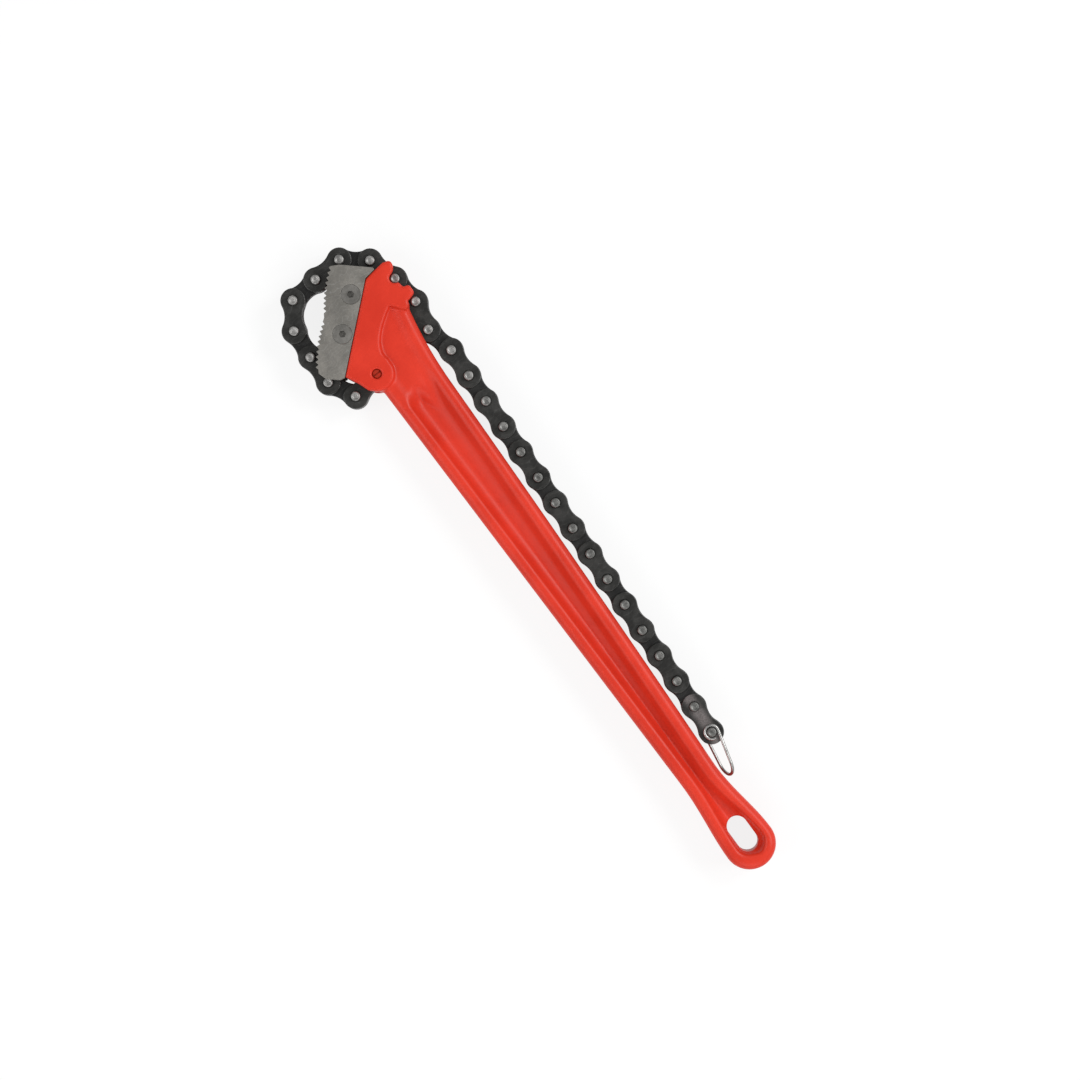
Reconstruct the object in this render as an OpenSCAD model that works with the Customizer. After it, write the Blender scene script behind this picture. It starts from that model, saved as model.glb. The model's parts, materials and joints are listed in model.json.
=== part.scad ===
// Chain pipe wrench: a forked cast handle with two toothed jaw plates, an
// anchored leaf chain that wraps the pipe and hooks its pins in the head, and
// a wire ring on the chain's free end. Millimetres. +X runs from the head to
// the hanging eye, +Y to the chain's side, +Z up from the face it lies on.
// The origin is under the anchor bolt, on the lower face of the head.

/* [Chain] */
// distance from pin to pin
pitch = 19.05; // [16:0.05:22]
// number of links, odd so that both end links are outer links
link_count = 27; // [21:2:31]
// height of a plate over its round ends
plate_h = 15.6; // [13:0.1:17]
// height of a plate at its waist
plate_waist = 11.2; // [9:0.1:13]
// thickness of one plate
plate_t = 2.4; // [1.8:0.1:3]
// diameter of a pin
pin_d = 6; // [4.5:0.1:7]
// how far a pin stands out past the plates on each side
pin_stick = 3.1; // [2:0.1:4]
// bevel on the ends of a pin
pin_bevel = 0.6; // [0.2:0.1:1]

/* [Pull ring] */
// diameter of the ring's wire
wire_d = 2; // [1.6:0.1:2.4]
// distance from the last pin to where the ring's far bend starts
ring_reach = 21; // [16:0.5:25]
// how far the wire stands to each side of the ring's middle line at the far bend
ring_tip_r = 3.2; // [2.8:0.1:3.8]
// how far the ring leans towards the handle, in degrees
ring_lean = 10; // [0:0.5:10.5]

/* [Jaws] */
// thickness of one jaw plate
jaw_t = 5; // [4:0.1:7]
// length of a jaw plate
jaw_len = 73; // [66:0.5:80]
// how far the jaw's middle lies below the middle of its screws
jaw_shift = 5.5; // [2:0.5:7]
// how much the toothed front falls away towards the anchor bolt, in degrees
front_fall = 4.3; // [0:0.1:6]
// depth of a jaw plate from its seat to the teeth
jaw_depth = 22.5; // [20:0.5:26]
// radius of each of the two toothed curves
lobe_r = 80; // [60:1:120]
// distance from tooth to tooth
tooth_pitch = 3.2; // [2.5:0.1:4]
// depth of the gaps between the teeth
tooth_depth = 1.4; // [0.8:0.1:2]
// slope of the jaw against the handle, in degrees
jaw_slope = 48; // [44:0.5:52]
// distance between the two jaw screws
screw_gap = 25; // [22:0.5:28]
// outer diameter of the screw sleeves
sleeve_d = 8; // [7:0.1:9]
// diameter of the jaw screws
screw_d = 5; // [4:0.1:5.5]
// diameter of the countersunk heads
screw_head_d = 12; // [11:0.1:14]

/* [Head] */
// radius of the boss round the anchor bolt
boss_r = 10.8; // [9.5:0.1:12]
// width of the anchor nut across its flats
nut_flats = 10; // [9:0.1:11]
// height of the anchor nut
nut_h = 4; // [3.5:0.1:5]
// how far the anchor bolt's end lies below the upper cheek
bolt_sink = 1.2; // [0.5:0.1:2]
// radius of the tip of the hook horn in front of the notch
horn_r = 2.7; // [2:0.1:3.2]
// how far the hook tooth behind the notch stands above the notched pin
tooth_rise = 4.8; // [3.5:0.1:6]

/* [Handle] */
// width of the handle's rims, seen from the edge
rim_w = 25; // [22:0.5:28]
// height of each rim
rim_h = 7; // [5:0.1:8]
// width of the upper rim, on the chain's side
rim_top = 10; // [8:0.1:11]
// thickness of the web between the rims
web_t = 9; // [7:0.5:12]
// thickness of the web inside the head
head_web_t = 23; // [18:0.5:24]
// distance from the anchor bolt to the centre of the eye's round end
eye_x = 369.5; // [340:0.5:400]
// radius of the eye's round end
eye_r = 16.4; // [15:0.1:18]
// length of the hanging slot
hang_len = 24; // [18:0.5:28]
// width of the hanging slot
hang_w = 13; // [10:0.5:15]
// height of the handle where it leaves the head
root_h = 37; // [34:0.5:40]
// height of the handle at its neck, before the eye
neck_h = 24.3; // [22:0.1:27]

/* [Fits] */
// gap between neighbouring plates
plate_gap = 0.1; // [0.05:0.01:0.2]
// radial play of a pin held in its own plates
press_play = 0.01; // [0.005:0.005:0.02]
// radial play of a plate that turns on a pin
run_play = 0.05; // [0.03:0.01:0.1]
// play of the chain in the fork on each side
fork_play = 0.5; // [0.3:0.1:1]
// play between the pin ends and the jaws
jaw_play = 0.4; // [0.3:0.1:1]
// radial play of a pin in the hook notch
notch_play = 0.35; // [0.2:0.05:0.6]
// play of the jaws on their seat and of the screws in their holes
seat_play = 0.1; // [0.05:0.01:0.2]

/* [Hidden] */
$fn = 72;
eps = 0.01;

// heights of the layers, measured from the middle of the wrench
stack = 5 * plate_t + 4 * plate_gap;
pin_len = stack + 2 * pin_stick;
fork_w = stack + 2 * fork_play;
tongue_t = pin_len + 2 * jaw_play;
head_t = tongue_t + 2 * jaw_t;
mid = head_t / 2;
pin_r = pin_d / 2;
lobe = plate_h / 2;

// the way each link turns from the one before it as the chain lies, in degrees
turns = [-81, -72, -28, -3, -30, -50, -2, -42, -34, -12, -18, 24, -14];
function turn(i) = i <= len(turns) ? turns[i - 1] : 0;
function heading(i) = i == 0 ? 0 : heading(i - 1) + turn(i);
function pin_at(i) = i == 0 ? [0, 0] : pin_at(i - 1) + pitch * [cos(heading(i)), sin(heading(i))];
function is_outer(i) = i % 2 == 1;
function two(i) = i < 10 ? str("0", i) : str(i);
function link_name(i) = str(is_outer(i) ? "outer_link_" : "inner_link_", two(i));
function pins_name(i) = str("link_pins_", two(i));

// the pins that lie over the head
p8 = pin_at(8);
p9 = pin_at(9);
p10 = pin_at(10);
p11 = pin_at(11);
p12 = pin_at(12);
notch_r = pin_r + notch_play;
swing_r = pitch - notch_r;

// the concave waist arc touches both round ends of a plate
waist_r = (pow(pitch / 2, 2) + pow(plate_waist / 2, 2) - lobe * lobe) / (plate_h - plate_waist);
waist_y = waist_r + plate_waist / 2;
touch = lobe / (waist_r + lobe) * [pitch / 2, waist_y];

// the jaw's own axes: a runs along the teeth, f out to the pipe
jaw_o = [-42, 6];
seat_f = -8.5;
tooth_f = seat_f + jaw_depth;
jaw_half = jaw_len / 2;
jaw_top = jaw_shift - jaw_half;
jaw_end = jaw_shift + jaw_half;
screw_f = -1.5;
screw_a = [0.5 - screw_gap / 2, 0.5 + screw_gap / 2];
function jaw_pt(a, f) = jaw_o + a * [cos(jaw_slope), -sin(jaw_slope)] - f * [sin(jaw_slope), cos(jaw_slope)];
teeth = floor((jaw_half - 6) / tooth_pitch);
tooth_step = tooth_pitch / lobe_r * 180 / PI;

// outline of the handle: upper and lower edge at a distance x from the anchor bolt
root_x = 30;
neck_x = 316;
eye_y = 14;
root_y = -3;
neck_y = 1.2;
crown = 0.7;
head_rise = 5.5;
head_x = -24;
rise_len = 54;
function mix(a, b, t) = a + (b - a) * t;
function clip(t) = min(1, max(0, t));
function ease(t) = t * t * (3 - 2 * t);
function along(x) = (x - root_x) / (neck_x - root_x);
function flare(x) = ease(clip((x - neck_x) / (eye_x - neck_x)));
function grip_low(x) = mix(root_y, neck_y, along(x));
function grip_high(x) = grip_low(x) + mix(root_h, neck_h, along(x)) + 4 * crown * along(x) * (1 - along(x));
function rise(x) = head_rise * pow(clip((root_x - x) / rise_len), 2);
function low(x) = mix(grip_low(x), eye_y - eye_r, flare(x));
function high(x) = mix(grip_high(x), eye_y + eye_r, flare(x)) + rise(x);
steps = 60;
function station(k, a, b) = mix(a, b, k / steps);

// the recess between the rims runs on round the hanging slot, where both rims are alike
function rim_up(x) = mix(rim_top, rim_h, flare(x));
function web_mid(x) = (low(x) + rim_h + high(x) - rim_up(x)) / 2;
function web_half(x) = (high(x) - low(x) - rim_h - rim_up(x)) / 2;
hang_x = eye_x - 7;
web_end = hang_x + (hang_len - hang_w) / 2;

// the cheek pads: the shoulder that the jaws butt on, and the ridge behind it
shoulder_a = [-23, jaw_end - 3.6];
heel = jaw_pt(shoulder_a[0] - 4, seat_f - 2.4);
ridge_ends = [[-29, 31], [-20, 15], [-11, 8.5], [-3, 10.4]];
function bow(p, t) = p[0] * pow(1 - t, 3) + 3 * p[1] * t * pow(1 - t, 2) + 3 * p[2] * t * t * (1 - t) + p[3] * pow(t, 3);
ridge = [for (k = [0 : 12]) bow(ridge_ends, k / 12)];

// the tongue that the jaws are screwed to
tongue_a = [-18, 19];
tongue_f = 4.5;

// the anchor bolt's hole and the recess that hides its nut in the lower cheek
hole_r = pin_r + press_play;
nut_r = nut_flats / 2 / cos(30);
recess_r = nut_r + 0.6;
recess_h = nut_h + 0.8;

// the ring hangs by two eyes on the ends of the last pin: one leg runs above the plates, one below
ring_r = pin_r + 0.2 + wire_d / 2;
ring_z = stack / 2 + 0.15 + wire_d / 2;
ring_side = acos((ring_r - ring_tip_r) / ring_reach);
ring_run = ring_reach * sin(ring_side);
bend = ring_tip_r * [cos(ring_side), sin(ring_side)];
bend_r = norm([bend[1], ring_z]);
eye_turn = 290;

links = [for (i = [1 : link_count]) link_name(i)];
pin_sets = [for (i = [1 : 2 : link_count]) pins_name(i)];
fixed = ["handle", "jaw_near", "jaw_far", "jaw_screws", "jaw_sleeves", "anchor_bolt", "anchor_nut"];

red = [0.86, 0.2, 0.14];
grey = [0.45, 0.45, 0.43];
black = [0.14, 0.14, 0.14];
steel = [0.55, 0.55, 0.54];
silver = [0.78, 0.78, 0.78];

// a flat shape of height h, centred on the middle of the wrench
module slab(h) {
    translate([0, 0, mid - h / 2])
        linear_extrude(h)
            children();
}

// places a flat shape in the jaw's own axes
module jaw_frame() {
    translate(jaw_o)
        rotate(-jaw_slope)
            scale([1, -1])
                children();
}

// the handle's whole outline, from the head to the eye and back
module handle_outline() {
    polygon(concat(
        [for (k = [0 : steps - 1]) let (x = station(k, head_x, eye_x)) [x, high(x)]],
        [for (t = [90 : -6 : -90]) [eye_x, eye_y] + eye_r * [cos(t), sin(t)]],
        [for (k = [steps - 1 : -1 : 0]) let (x = station(k, 4, eye_x)) [x, low(x)]],
        [[-12, 5], [-34, 14], [-34, 34]]));
}

// the recess between the rims, with a round end
module web_outline() {
    polygon(concat(
        [for (k = [0 : steps - 1]) let (x = station(k, -31, web_end)) [x, web_mid(x) + web_half(x)]],
        [for (t = [90 : -7.5 : -90]) [web_end, web_mid(web_end)] + web_half(web_end) * [cos(t), sin(t)]],
        [for (k = [steps - 1 : -1 : 0]) let (x = station(k, 4, web_end)) [x, web_mid(x) - web_half(x)]],
        [[-31, 12]]));
}

// the thicker web inside the head, up to a slanting step at the root of the grip
module head_web_outline() {
    step = [[root_x + 2, 0], [root_x - 15.5, 30]];
    polygon([step[0] + [0, 3], step[1], [head_x, 30], [head_x - 4, 16], [-2, 3]]);
}

// the cheek pad with the horn and the hook tooth
module cheek_outline() {
    polygon(concat(
        [jaw_pt(shoulder_a[1], seat_f), jaw_pt(shoulder_a[0], seat_f), heel],
        [p9 + [-12, 0], p9 + [-10.4, 2], p9 + [-7.4, 1.2 + horn_r], p9 + [0, 0]],
        [p9 + [7.4, 1], p9 + [9.2, tooth_rise], p9 + [13, tooth_rise], p9 + [16, 1.5]],
        [p9 + [16, -1.5], p9 + [19, -2.6], [head_x + 3, 37.5]], ridge,
        [[0, 0], [5, -9.4], [-1.5, -12.6]]));
    translate(p9 + [-8.6, 1.4])
        circle(r = horn_r);
    translate(p9 + [10.4, tooth_rise - 2.4])
        circle(r = 2.4);
    translate(p9 + [12.6, tooth_rise - 2.4])
        circle(r = 2.4);
    circle(r = boss_r);
}

// the notch for the hooked pin: its front flank follows the pin's swing round the pin before it
module notch_cut() {
    translate(p9)
        circle(r = notch_r);
    difference() {
        polygon([p9 + [-9, 0], p9 + [notch_r, 0], p9 + [notch_r + 3.4, 9], p9 + [-9, 9]]);
        translate(p8)
            circle(r = swing_r);
    }
}

// room for the next pin to swing off the hook tooth
module tail_cut() {
    translate(p10)
        circle(r = notch_r);
    difference() {
        translate(p10 + [-9, 0])
            square([20, 12]);
        translate(p9)
            circle(r = swing_r);
    }
}

// the fork's open channel above the head, under the chain
module channel_cut() {
    drop = [0, lobe + fork_play];
    polygon([p8 - drop - [30, 0], p8 - drop, p9 - drop, p10 - drop, p11 - drop, p12 - drop,
        p12 - drop + [12, 2], p12 + [12, 40], p8 + [-30, 40]]);
}

// the fork's lower mouth, where the first link hangs on the anchor bolt
module mouth_cut() {
    r = lobe + fork_play;
    circle(r = r);
    polygon([[-r, 0], [r, 0], [r + 5, -40], [-r - 16, -40]]);
}

// the tongue between the jaws
module tongue_outline() {
    polygon([jaw_pt(tongue_a[0] - 2, seat_f - 4), jaw_pt(tongue_a[0], tongue_f - 4), jaw_pt(tongue_a[0] + 4, tongue_f),
        jaw_pt(tongue_a[1] - 4, tongue_f), jaw_pt(tongue_a[1], tongue_f - 4), jaw_pt(tongue_a[1] + 2, seat_f - 4)]);
}

// the round-ended hanging slot
module hang_outline() {
    half = (hang_len - hang_w) / 2;
    translate([hang_x - half, eye_y - hang_w / 2])
        square([2 * half, hang_w]);
    for (s = [-1, 1])
        translate([hang_x + s * half, eye_y])
            circle(d = hang_w);
}

module handle() {
    color(red)
        difference() {
            union() {
                slab(rim_w)
                    difference() {
                        handle_outline();
                        web_outline();
                    }
                slab(web_t)
                    handle_outline();
                slab(head_web_t)
                    head_web_outline();
                slab(head_t)
                    cheek_outline();
                slab(tongue_t)
                    tongue_outline();
            }
            slab(head_t + 2)
                hang_outline();
            slab(head_t + 2)
                notch_cut();
            slab(head_t + 2)
                tail_cut();
            slab(fork_w)
                channel_cut();
            slab(fork_w)
                mouth_cut();
            translate([0, 0, -1])
                cylinder(r = hole_r, h = head_t + 2);
            translate([0, 0, -eps])
                cylinder(r = recess_r, h = recess_h + eps);
            for (a = screw_a)
                translate(jaw_pt(a, screw_f))
                    translate([0, 0, -1])
                        cylinder(d = sleeve_d + 2 * seat_play, h = head_t + 2);
        }
}

// the middle of one of the jaw's two curved rows of teeth
module front(s) {
    translate([0, tooth_f])
        rotate(-front_fall)
            translate([jaw_shift + s * jaw_half / 2, -lobe_r])
                children();
}

// one toothed jaw plate: two curved rows of teeth with a dip between them
module jaw_outline() {
    seat = seat_f + seat_play;
    top = tooth_f + 2;
    difference() {
        intersection() {
            polygon([[shoulder_a[0] - 0.6, seat], [jaw_top + 1, seat - 4.2], [jaw_top, seat - 3.2], [jaw_top + 2.4, 9],
                [jaw_top + 5, top], [jaw_end - 6, top], [jaw_end, 3], [jaw_end - 1, seat + 2.5], [jaw_end - 3, seat]]);
            union() {
                for (s = [-1, 1])
                    intersection() {
                        front(s)
                            circle(r = lobe_r, $fn = 360);
                        translate([s < 0 ? jaw_top : jaw_shift, seat - 10])
                            square([jaw_half, jaw_depth + 15]);
                    }
            }
        }
        for (s = [-1, 1])
            front(s)
                for (k = [-teeth / 2 : teeth / 2])
                    rotate(k * tooth_step)
                        translate([0, lobe_r])
                            polygon([[-0.46 * tooth_pitch, 0.4], [0, -tooth_depth], [0.46 * tooth_pitch, 0.4]]);
        for (a = screw_a)
            translate([a, screw_f])
                circle(d = sleeve_d + 2 * seat_play);
    }
}

// a countersunk seat that narrows towards z = 0
module countersink(play) {
    depth = (screw_head_d - sleeve_d) / 2;
    translate([0, 0, jaw_t - depth])
        cylinder(d1 = sleeve_d + 2 * play, d2 = screw_head_d + 2 * play, h = depth);
}

module jaw(up) {
    flip = up ? 1 : -1;
    translate([0, 0, mid])
        scale([1, 1, flip])
            translate([0, 0, tongue_t / 2])
                difference() {
                    linear_extrude(jaw_t)
                        jaw_frame()
                            jaw_outline();
                    for (a = screw_a)
                        translate(jaw_pt(a, screw_f))
                            translate([0, 0, eps])
                                countersink(seat_play);
                }
}

module jaw_near() {
    color(grey)
        jaw(true);
}

module jaw_far() {
    color(grey)
        jaw(false);
}

// the screws: countersunk heads with a hexagon socket, level with the near jaw
module jaw_screws() {
    color(grey)
        for (a = screw_a)
            translate(jaw_pt(a, screw_f))
                difference() {
                    union() {
                        translate([0, 0, head_t - jaw_t])
                            countersink(0);
                        translate([0, 0, jaw_t])
                            cylinder(d = screw_d, h = head_t - jaw_t - 1);
                    }
                    translate([0, 0, head_t - 2.4])
                        cylinder(d = 4.6, h = 3, $fn = 6);
                }
}

// the sleeves: flat-headed, slotted, bored for the screws, level with the far jaw
module jaw_sleeves() {
    color(grey)
        for (a = screw_a)
            translate(jaw_pt(a, screw_f))
                difference() {
                    union() {
                        translate([0, 0, jaw_t])
                            scale([1, 1, -1])
                                countersink(0);
                        translate([0, 0, 1])
                            cylinder(d = sleeve_d, h = head_t - jaw_t);
                    }
                    translate([0, 0, jaw_t - 1])
                        cylinder(d = screw_d + 2 * press_play, h = head_t);
                    translate([-screw_head_d, -0.7, -1])
                        cube([2 * screw_head_d, 1.4, 2.2]);
                }
}

// the anchor bolt: screwed into the upper cheek, across the fork, with a nut under the lower cheek
module anchor_bolt() {
    low = 0.4;
    top = head_t - bolt_sink;
    b = pin_bevel;
    color(black)
        difference() {
            rotate_extrude()
                polygon([[0, low], [pin_r - b, low], [pin_r, low + b], [pin_r, top - b], [pin_r - b, top], [0, top]]);
            translate([-0.5, -pin_d, top - 0.9])
                cube([1, 2 * pin_d, 2]);
        }
}

module anchor_nut() {
    color(black)
        translate([0, 0, recess_h - nut_h])
            difference() {
                cylinder(r = nut_r, h = nut_h, $fn = 6);
                translate([0, 0, -1])
                    cylinder(r = hole_r, h = nut_h + 2);
            }
}

// a waisted plate between two pin holes, the first at the origin
module plate_outline(play_a, play_b) {
    difference() {
        union() {
            circle(r = lobe);
            translate([pitch, 0])
                circle(r = lobe);
            translate([touch[0], -touch[1]])
                square([pitch - 2 * touch[0], 2 * touch[1]]);
        }
        for (s = [-1, 1])
            translate([pitch / 2, s * waist_y])
                circle(r = waist_r, $fn = 144);
        circle(r = pin_r + play_a);
        translate([pitch, 0])
            circle(r = pin_r + play_b);
    }
}

// the plates of link i, in the given layers from 0 at the bottom to 4 at the top
module plates(i, layers, play_a, play_b) {
    for (n = layers)
        translate([0, 0, mid - stack / 2 + n * (plate_t + plate_gap)])
            translate(pin_at(i - 1))
                rotate(heading(i))
                    linear_extrude(plate_t)
                        plate_outline(play_a, play_b);
}

module outer_link(i) {
    color(black)
        plates(i, i == link_count ? [0, 4] : [0, 2, 4], i == 1 ? run_play : press_play, press_play);
}

module inner_link(i) {
    color(black)
        plates(i, [1, 3], run_play, run_play);
}

// a pin with bevelled ends
module pin(i) {
    b = pin_bevel;
    translate(pin_at(i))
        translate([0, 0, mid - pin_len / 2])
            rotate_extrude()
                polygon([[0, 0], [pin_r - b, 0], [pin_r, b], [pin_r, pin_len - b], [pin_r - b, pin_len], [0, pin_len]]);
}

module link_pins(i) {
    color(steel)
        for (k = i == 1 ? [1] : [i - 1, i])
            pin(k);
}

// a turn of wire in its own plane
module wire_turn(r, start, sweep) {
    rotate(start)
        rotate_extrude(angle = sweep)
            translate([r, 0])
                circle(d = wire_d, $fn = 36);
}

module pull_ring() {
    color(silver)
        translate(pin_at(link_count))
            translate([0, 0, mid])
                rotate(heading(link_count) - ring_lean) {
                    for (s = [-1, 1]) {
                        translate([0, 0, s * ring_z])
                            wire_turn(ring_r, s > 0 ? ring_side : -ring_side - eye_turn, eye_turn);
                        rotate(s * ring_side)
                            translate([ring_r, s * 0.15, s * ring_z])
                                rotate([s * 90, 0, 0])
                                    cylinder(d = wire_d - 0.02, h = ring_run + 0.3, $fn = 36);
                    }
                    translate([ring_reach + bend[0], 0, 0])
                        rotate([atan2(ring_z, bend[1]), 0, 0])
                            wire_turn(bend_r, -90, 180);
                }
}

handle();
jaw_near();
jaw_far();
jaw_screws();
jaw_sleeves();
anchor_bolt();
anchor_nut();
for (i = [1 : 2 : link_count])
    outer_link(i);
for (i = [2 : 2 : link_count])
    inner_link(i);
for (i = [1 : 2 : link_count])
    link_pins(i);
pull_ring();
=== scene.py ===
import json
import math

import bpy
import numpy as np
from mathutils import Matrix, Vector
from mathutils.geometry import delaunay_2d_cdt


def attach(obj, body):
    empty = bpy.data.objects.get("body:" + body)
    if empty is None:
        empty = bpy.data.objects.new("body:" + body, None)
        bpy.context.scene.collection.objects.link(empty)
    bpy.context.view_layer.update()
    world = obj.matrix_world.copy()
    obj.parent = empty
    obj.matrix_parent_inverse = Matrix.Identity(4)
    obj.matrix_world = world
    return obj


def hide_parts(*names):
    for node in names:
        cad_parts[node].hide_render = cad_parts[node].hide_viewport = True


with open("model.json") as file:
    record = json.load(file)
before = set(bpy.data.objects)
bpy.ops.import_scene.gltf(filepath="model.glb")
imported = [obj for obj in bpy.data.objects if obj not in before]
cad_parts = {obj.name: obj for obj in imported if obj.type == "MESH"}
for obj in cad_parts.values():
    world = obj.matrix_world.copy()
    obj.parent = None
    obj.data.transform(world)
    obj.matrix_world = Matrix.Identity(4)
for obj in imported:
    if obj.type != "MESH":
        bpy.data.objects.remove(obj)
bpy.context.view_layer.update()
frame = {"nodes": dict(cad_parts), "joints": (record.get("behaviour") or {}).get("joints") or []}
nodes = frame["nodes"]
MM = 0.001

# Sizes in millimetres, the same as in the part's source

PITCH, LINKS = 19.05, 27
PLATE_H, PLATE_WAIST, PLATE_T, PLATE_GAP = 15.6, 11.2, 2.4, 0.1
PIN_R, PIN_STICK = 3.0, 3.1
TIGHT_BORE, TURNING_BORE, BORE_SIDES = 0.01, 0.05, 32
STACK = 5 * PLATE_T + 4 * PLATE_GAP
PIN_LEN = STACK + 2 * PIN_STICK
FORK_W = STACK + 1.0
TONGUE_T = PIN_LEN + 0.8
JAW_T = 5.0
HEAD_T = TONGUE_T + 2 * JAW_T
MID = HEAD_T / 2
RIM_W, RIM_LOW, RIM_HIGH, WEB_T, HEAD_WEB_T = 25.0, 7.0, 10.0, 9.0, 23.0
EYE_X, EYE_Y, EYE_R = 369.5, 14.0, 16.4
HANG_X, HANG_LEN, HANG_W = 362.5, 24.0, 13.0
LOBE = PLATE_H / 2

# The chain's pins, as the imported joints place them
joint_of = {j["child"]: np.array(j["pos_m"][:2]) / MM for j in frame["joints"]}
PINS = [joint_of["link_%02d" % i] for i in range(1, LINKS + 1)] + [joint_of["ring"]]


def unit(v):
    return v / np.linalg.norm(v)


# Meshes

def new_object(name, verts, faces, smooth=True):
    """A mesh object from points in millimetres."""
    me = bpy.data.meshes.new(name)
    me.from_pydata((np.asarray(verts, float) * MM).tolist(), [], [list(map(int, f)) for f in faces])
    me.validate()
    me.update()
    if smooth:
        me.shade_smooth()
    ob = bpy.data.objects.new(name, me)
    bpy.context.scene.collection.objects.link(ob)
    return ob


def sharp_by_angle(ob, degrees):
    ob.data.set_sharp_from_angle(angle=math.radians(degrees))


def inset(ring, d):
    """A closed ring of points moved inwards by d."""
    ring = np.asarray(ring, float)
    e = np.roll(ring, -1, 0) - ring
    e /= np.linalg.norm(e, axis=1)[:, None]
    n = np.stack([-e[:, 1], e[:, 0]], 1)
    m = n + np.roll(n, 1, 0)
    m /= np.maximum((m * n).sum(1), 0.35)[:, None]
    return ring + d * m


def circle(c, r, n):
    t = np.linspace(0, 2 * np.pi, n, endpoint=False)
    return np.stack([c[0] + r * np.cos(t), c[1] + r * np.sin(t)], 1)


def ccw(ring):
    ring = np.asarray(ring, float)
    nxt = np.roll(ring, -1, 0)
    area = (ring[:, 0] * nxt[:, 1] - ring[:, 1] * nxt[:, 0]).sum()
    return ring if area > 0 else ring[::-1]


def plate(outline, holes, z0, z1, profile):
    """A plate with shaped edges: profile is a list of (inset, depth below the face) from the face to the side."""
    loops = [ccw(outline)] + [ccw(h)[::-1] for h in holes]
    verts, faces = [], []
    caps = ([], [])
    for ring in loops:
        layers = [(inset(ring, d), z0 + h) for d, h in profile] + [(inset(ring, d), z1 - h) for d, h in profile[::-1]]
        n = len(ring)
        base = len(verts)
        for pts, z in layers:
            verts += [(p[0], p[1], z) for p in pts]
        for k in range(len(layers) - 1):
            for i in range(n):
                j = (i + 1) % n
                a = base + k * n
                faces.append((a + i, a + j, a + n + j, a + n + i))
        caps[0].append((base, n))
        caps[1].append((base + (len(layers) - 1) * n, n))
    for side, spans in enumerate(caps):
        ids = [b + i for b, n in spans for i in range(n)]
        pts = [Vector(verts[i][:2]) for i in ids]
        edges, start = [], 0
        for b, n in spans:
            edges += [(start + i, start + (i + 1) % n) for i in range(n)]
            start += n
        out = delaunay_2d_cdt(pts, edges, [], 0, 1e-6)
        pos, tris, origin = out[0], out[2], out[3]
        rings = [np.array([verts[b + i][:2] for i in range(n)]) for b, n in spans]
        for t in tris:
            c = sum((Vector(pos[i]) for i in t), Vector((0, 0))) / 3
            if within(c, rings[0]) and not any(within(c, r) for r in rings[1:]):
                f = [ids[origin[i][0]] for i in t]
                p = [np.array(verts[i][:2]) for i in f]
                turn = (p[1] - p[0])[0] * (p[2] - p[0])[1] - (p[1] - p[0])[1] * (p[2] - p[0])[0]
                faces.append(f if (turn > 0) == (side == 1) else f[::-1])
    return verts, faces


def within(p, ring):
    x, y = ring[:, 0], ring[:, 1]
    xn, yn = np.roll(x, -1), np.roll(y, -1)
    cross = (y > p[1]) != (yn > p[1])
    with np.errstate(divide="ignore", invalid="ignore"):
        at = (xn - x) * (p[1] - y) / (yn - y) + x
    return bool((cross & (p[0] < at)).sum() % 2)


def lathe(profile, centre, n=40):
    """A turned solid: profile is a list of (radius, z) from the bottom axis point to the top axis point."""
    c = np.asarray(centre, float)
    verts = [(c[0], c[1], profile[0][1])]
    t = np.linspace(0, 2 * np.pi, n, endpoint=False)
    for r, z in profile[1:-1]:
        verts += [(c[0] + r * math.cos(a), c[1] + r * math.sin(a), z) for a in t]
    verts.append((c[0], c[1], profile[-1][1]))
    faces = [(0, 1 + (i + 1) % n, 1 + i) for i in range(n)]
    for k in range(len(profile) - 3):
        a = 1 + k * n
        faces += [(a + i, a + (i + 1) % n, a + n + (i + 1) % n, a + n + i) for i in range(n)]
    a = 1 + (len(profile) - 3) * n
    faces += [(a + i, a + (i + 1) % n, len(verts) - 1) for i in range(n)]
    return verts, faces


def joined(parts):
    verts, faces = [], []
    for v, f in parts:
        k = len(verts)
        verts += list(v)
        faces += [[i + k for i in q] for q in f]
    return verts, faces


# Distance fields for the casting: negative inside, in millimetres

def field_polygon(ring, X, Y):
    ring = np.asarray(ring, float)
    best = np.full(X.shape, 1e9)
    inside = np.zeros(X.shape, bool)
    for a, b in zip(ring, np.roll(ring, -1, 0)):
        e = b - a
        wx, wy = X - a[0], Y - a[1]
        t = np.clip((wx * e[0] + wy * e[1]) / (e @ e), 0, 1)
        best = np.minimum(best, (wx - t * e[0]) ** 2 + (wy - t * e[1]) ** 2)
        cross = (a[1] > Y) != (b[1] > Y)
        if cross.any():
            inside ^= cross & (X < (b[0] - a[0]) * (Y - a[1]) / (b[1] - a[1] + 1e-30) + a[0])
    d = np.sqrt(best)
    return np.where(inside, -d, d)


def field_circle(c, r, X, Y):
    return np.hypot(X - c[0], Y - c[1]) - r


def round_max(a, b, r):
    """The overlap of two fields with its edge rounded to radius r."""
    return np.minimum(np.maximum(a, b), -r) + np.hypot(np.maximum(a + r, 0), np.maximum(b + r, 0))


def round_min(a, b, r):
    """The union of two fields with its corner filled to radius r."""
    return -round_max(-a, -b, r)


def cut(a, b, r):
    return round_max(a, -b, r)


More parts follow.
